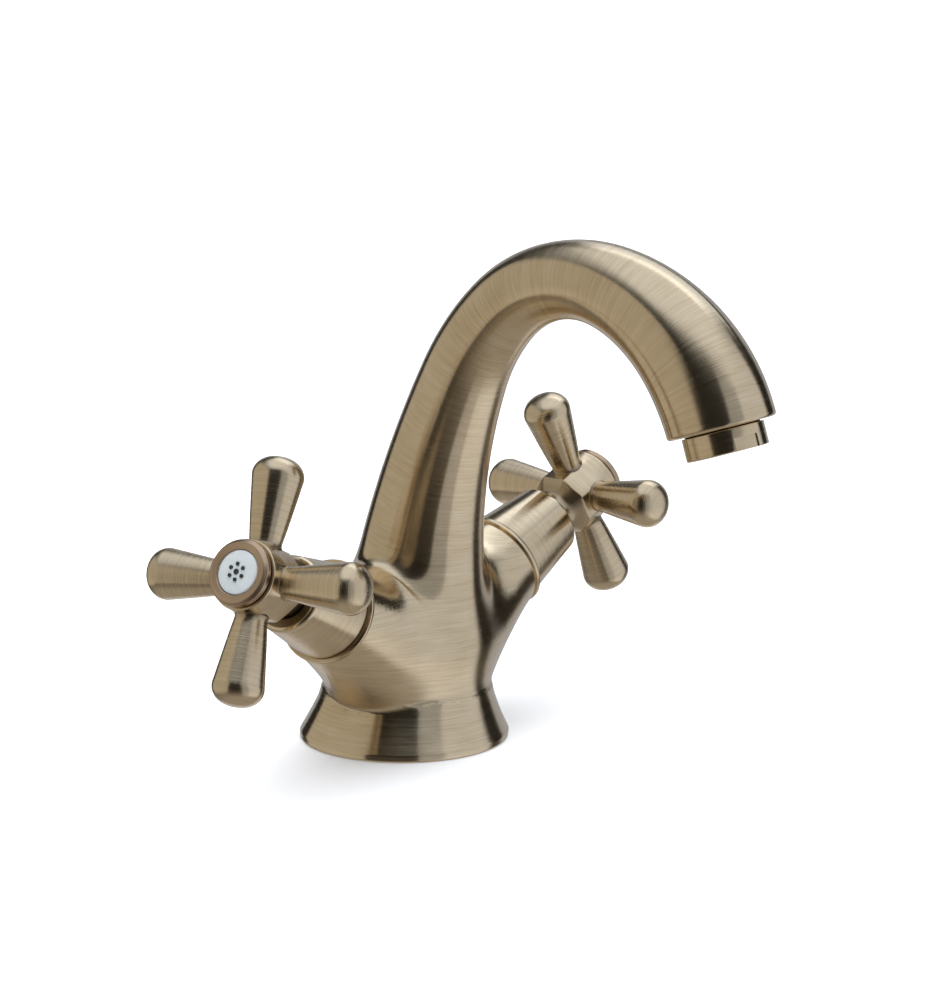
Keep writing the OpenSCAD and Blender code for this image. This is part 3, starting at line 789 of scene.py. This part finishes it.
def hub_mesh(name, matrix):
    sides = 160
    a = np.arange(sides) * 2 * math.pi / sides
    rings = []
    for h, flat, share in hub_rows():
        r = octagon_r(a, flat, share)
        rings.append(np.stack([r * np.cos(a), r * np.sin(a), np.full(sides, h)], 1))
    top_r = [(BELL_R, BELL_TOP - 0.35), (BELL_R - 0.1, BELL_TOP - 0.1), (BELL_R - 0.35, BELL_TOP),
             (HUB_BORE + 0.1, BELL_TOP), (HUB_BORE, BELL_TOP - 0.1), (HUB_BORE, BELL_TOP - 3)]
    for r, h in top_r:
        rings.append(np.stack([r * np.cos(a), r * np.sin(a), np.full(sides, h)], 1))
    points = np.concatenate(rings)
    faces = strip(len(rings), sides)
    grid = points.reshape(len(rings), sides, 3)
    du = np.roll(grid, -1, 1) - np.roll(grid, 1, 1)
    dv = np.zeros_like(grid)
    dv[1:-1] = grid[2:] - grid[:-2]
    dv[0], dv[-1] = grid[1] - grid[0], grid[-1] - grid[-2]
    normals = unit(np.cross(du, dv)).reshape(-1, 3)
    along = unit(dv).reshape(-1, 3)
    grain = np.repeat([r[0][2] for r in rings], sides)
    height = points[:, 2]
    # painted shade: below its flats the hub is darkened down the neck towards the shroud, up to half strength
    recess = 0.5 * np.clip((HUB_FLAT_H + 1.0 - height) / 3, 0, 1)
    return add_mesh(name, points, faces, normals, along, grain, recess, matrix)


def arm_profile():
    root = HUB_FLATS / 2 - 0.35
    swell = REACH - 5.0
    rows = [(root, ROOT_R + 0.35), (root + 0.5, ROOT_R + 0.12), (root + 1.0, ROOT_R + 0.03)]
    for t in np.linspace(0.05, 1, 22):
        rows.append((root + 1 + (swell - root - 1) * t, ROOT_R + (TIP_R - ROOT_R) * t ** 0.92))
    dome = []
    for k in range(1, 17):
        a = rad(90 * k / 16)
        radius = TIP_R * math.cos(a) ** 0.86 if k < 16 else 0.0
        dome.append((radius, swell + (REACH - swell) * math.sin(a) ** 0.98))
    pts = np.array([(r, h) for h, r in rows] + dome)
    tangent = unit(np.gradient(pts, axis=0))
    prof = []
    for k, ((r, h), d) in enumerate(zip(pts, tangent)):
        # painted shade: the arm is darkened for 1.6 mm out from its root on the hub
        deep = 0.9 * max(0.0, 1 - (h - root) / 1.6)
        prof.append((r, h, d[1], -d[0], deep))
    prof[-1] = (0.0, REACH, 0.0, 1.0, -0.15)
    return [(ROOT_R - 1.2, root - 0.1, 0, -1, 0.5)] + prof


ARM_PROFILE = arm_profile()
ARMS = (("top", 180), ("front", 270), ("bottom", 0), ("rear", 90))


def valve(label, side, turned):
    still = valve_frame(side)
    turning = valve_frame(side, turned)
    tap, handle = "tap_body", label + "_handle"

    ring_profile = outline([(RING_IN, ARM_END, 0), (RING_R, ARM_END, 0.35), (RING_R, RING_END, 0.35),
                            (RING_IN, RING_END, 0)])
    ring = lathe(label + "_ring", ring_profile, still, 128)
    finished(ring, BRASS, tap, [label + "_trim_ring"])

    shroud_profile = outline([
        (SHROUD_R1 - WALL, SHROUD_FROM, 0), (SHROUD_R1 - 0.35, SHROUD_FROM, 0.0),
        (SHROUD_R1 - 0.05, 42.1, 0.0), (SHROUD_R1 - 0.09, 42.5, 0.0),
        (SHROUD_R2, SHROUD_END, 1.3), (SHROUD_EYE, SHROUD_END, 0.25),
        (SHROUD_EYE, SHROUD_END - 1.2, 0.1), (SHROUD_R2 - WALL, SHROUD_END - 1.2, 0.3),
        (SHROUD_R1 - WALL, SHROUD_FROM, 0)], 8)
    # painted shade: the band at the shroud's base next to the trim ring and its end face round the hub are
    # set fully dark
    profile_with_painted_shade = []
    for r, h, out, up, deep in shroud_profile:
        sheltered = h < 42.2 or (h > SHROUD_END - 1.3 and r < SHROUD_R2 - 1)
        profile_with_painted_shade.append((r, h, out, up, 1.0 if sheltered else deep))
    shroud = lathe(label + "_shroud", profile_with_painted_shade, still, 128)
    finished(shroud, BRASS, tap, [label + "_valve_shroud"])

    hub = hub_mesh(label + "_hub", turning)
    finished(hub, TURNED, handle, [label + "_handle_hub"])
    lift = Matrix.Translation((0, 0, HUB_ARMS))
    for where, turn in ARMS:
        m = turning @ lift @ Matrix.Rotation(rad(turn), 4, "Z") @ Matrix.Rotation(rad(90), 4, "Y")
        arm = lathe(f"{label}_arm_{where}", ARM_PROFILE, m, 72)
        finished(arm, TURNED, handle, [f"{label}_handle_arm_{where}"])

    top = BEZEL_H + BEZEL_T
    bezel_profile = outline([
        (5.9, BELL_TOP - 2.6, 0), (5.9, BEZEL_H, 0.15), (BEZEL_R, BEZEL_H, 0.3), (BEZEL_R, top - 0.75, 0.5),
        (BEZEL_R - 0.9, top, 0.7), (INDEX_R + 0.35, top - 0.05, 0.2), (INDEX_R + 0.12, top - 0.6, 0.0)])
    bezel = lathe(label + "_bezel", bezel_profile, turning, 112)
    finished(bezel, BRONZE, handle, [label + "_index_bezel"])

    rim, dome = top - 0.2, 0.5
    face = [(INDEX_R + 0.1, rim - 0.5, 0), (INDEX_R + 0.02, rim - 0.1, 0)]
    for a in (12, 30, 45, 60, 75):
        cos = math.cos(rad(a))
        face.append((INDEX_R * cos, rim + dome * (1 - cos ** 2) - 0.02, 0))
    face += [(0.0, rim + dome, 0)]
    disc = lathe(label + "_disc", outline(face), turning, 96)
    finished(disc, ENAMEL, handle, [label + "_index_disc"])


valve("hot", -1, rad(3))
valve("cold", 1, rad(2))

# ---------------------------------------------------------------- CAD nodes that stay
SLOTS = {part["node"]: part["material_slot"] for part in frame["record"]["subparts"]}
for name, obj in frame["nodes"].items():
    if not obj.hide_render:
        obj.data.materials.clear()
        obj.data.materials.append(FINISH[SLOTS[name]])

# ---------------------------------------------------------------- floor and light
FLOOR = plain_finish("floor", (0.90, 0.90, 0.90), 0.7, vary=0.01, scale=3)
FLOOR_SIZE, FLOOR_HALF, SWEEP_AT, SWEEP_R, WALL_H = 3.0, 4.0, 1.6, 0.8, 3.0
line = [(-FLOOR_SIZE, 0.0), (SWEEP_AT, 0.0)]
line += [(SWEEP_AT + SWEEP_R * math.sin(rad(a)), SWEEP_R * (1 - math.cos(rad(a)))) for a in range(10, 91, 10)]
line += [(SWEEP_AT + SWEEP_R, WALL_H)]
away = -Vector((back.x, back.y, 0)).normalized()
floor_points = [tuple(away * d + right * w + Vector((0, 0, z)))
                for d, z in line for w in (-FLOOR_HALF, FLOOR_HALF)]
floor_faces = [(2 * k, 2 * k + 1, 2 * k + 3, 2 * k + 2) for k in range(len(line) - 1)]
floor_mesh = bpy.data.meshes.new("floor")
floor_mesh.from_pydata(floor_points, [], floor_faces)
floor_mesh.shade_smooth()
floor_mesh.materials.append(FLOOR)
floor = bpy.data.objects.new("floor", floor_mesh)
bpy.context.scene.collection.objects.link(floor)
floor.visible_glossy = False


def soft_box(name, azimuth, elevation, half_width, half_height, radiance, colour=(1, 1, 1), distance=1.5):
    """A soft box seen from the tap at a bearing given as for the camera, with its half sizes in degrees."""
    a, e = rad(azimuth), rad(elevation)
    way = Vector((math.sin(a) * math.cos(e), -math.cos(a) * math.cos(e), math.sin(e)))
    data = bpy.data.lights.new(name, "AREA")
    data.shape = "RECTANGLE"
    data.size = 2 * distance * math.tan(rad(half_width))
    data.size_y = 2 * distance * math.tan(rad(half_height))
    data.energy, data.color = radiance * math.pi * data.size * data.size_y, colour
    lamp = bpy.data.objects.new(name, data)
    bpy.context.scene.collection.objects.link(lamp)
    lamp.location = Vector((0, -0.03, 0.07)) + way * distance
    lamp.rotation_mode = "QUATERNION"
    lamp.rotation_quaternion = way.to_track_quat("Z", "Y")
    lamp.visible_camera = False
    return lamp


COOL, WARM, FRONT = (0.90, 0.98, 1.14), (1.05, 1.0, 0.90), (0.94, 1.0, 1.12)
soft_box("left_box", -140, 6, 46, 38, 0.44, WARM)
soft_box("right_box", 11, 0, 47, 48, 0.36, FRONT)
soft_box("right_inner_box", 26, -2, 32, 44, 0.30, FRONT)
soft_box("rear_box", 120, -16, 36, 40, 0.40, FRONT)
soft_box("rear_top_box", 105, 46, 22, 16, 1.0, COOL)
soft_box("top_box", 30, 80, 38, 38, 0.34, COOL)
key = soft_box("floor_lamp", -40, 88, 44, 44, 2.2, distance=2.4)
key.visible_glossy = False

world = bpy.data.worlds.new("studio")
bpy.context.scene.world = world
world.use_nodes = True
nodes, links = world.node_tree.nodes, world.node_tree.links
surround = nodes["Background"]
way = nodes.new("ShaderNodeSeparateXYZ")
links.new(nodes.new("ShaderNodeTexCoord").outputs["Generated"], way.inputs[0])
height = math_node(nodes, links, "MULTIPLY_ADD", way.outputs[2], 0.5)
height.node.inputs[2].default_value = 0.5
# what the metal mirrors where there is no soft box, from straight below (0) to straight above (1)
ROOM = [(0.08, (0.38, 0.36, 0.34)), (0.28, (0.10, 0.09, 0.08)), (0.42, (0.02, 0.018, 0.015)),
        (0.79, (0.02, 0.02, 0.02)), (0.85, (0.13, 0.14, 0.15)), (0.90, (0.47, 0.50, 0.56)),
        (0.95, (0.54, 0.58, 0.66))]
links.new(ramp(nodes, links, height, ROOM), surround.inputs["Color"])
backdrop = nodes.new("ShaderNodeBackground")
backdrop.inputs["Color"].default_value = (1, 1, 1, 1)
chooser = nodes.new("ShaderNodeMixShader")
links.new(nodes.new("ShaderNodeLightPath").outputs["Is Camera Ray"], chooser.inputs[0])
links.new(surround.outputs[0], chooser.inputs[1])
links.new(backdrop.outputs[0], chooser.inputs[2])
links.new(chooser.outputs[0], nodes["World Output"].inputs["Surface"])
bpy.context.scene.view_settings.view_transform = "Standard"
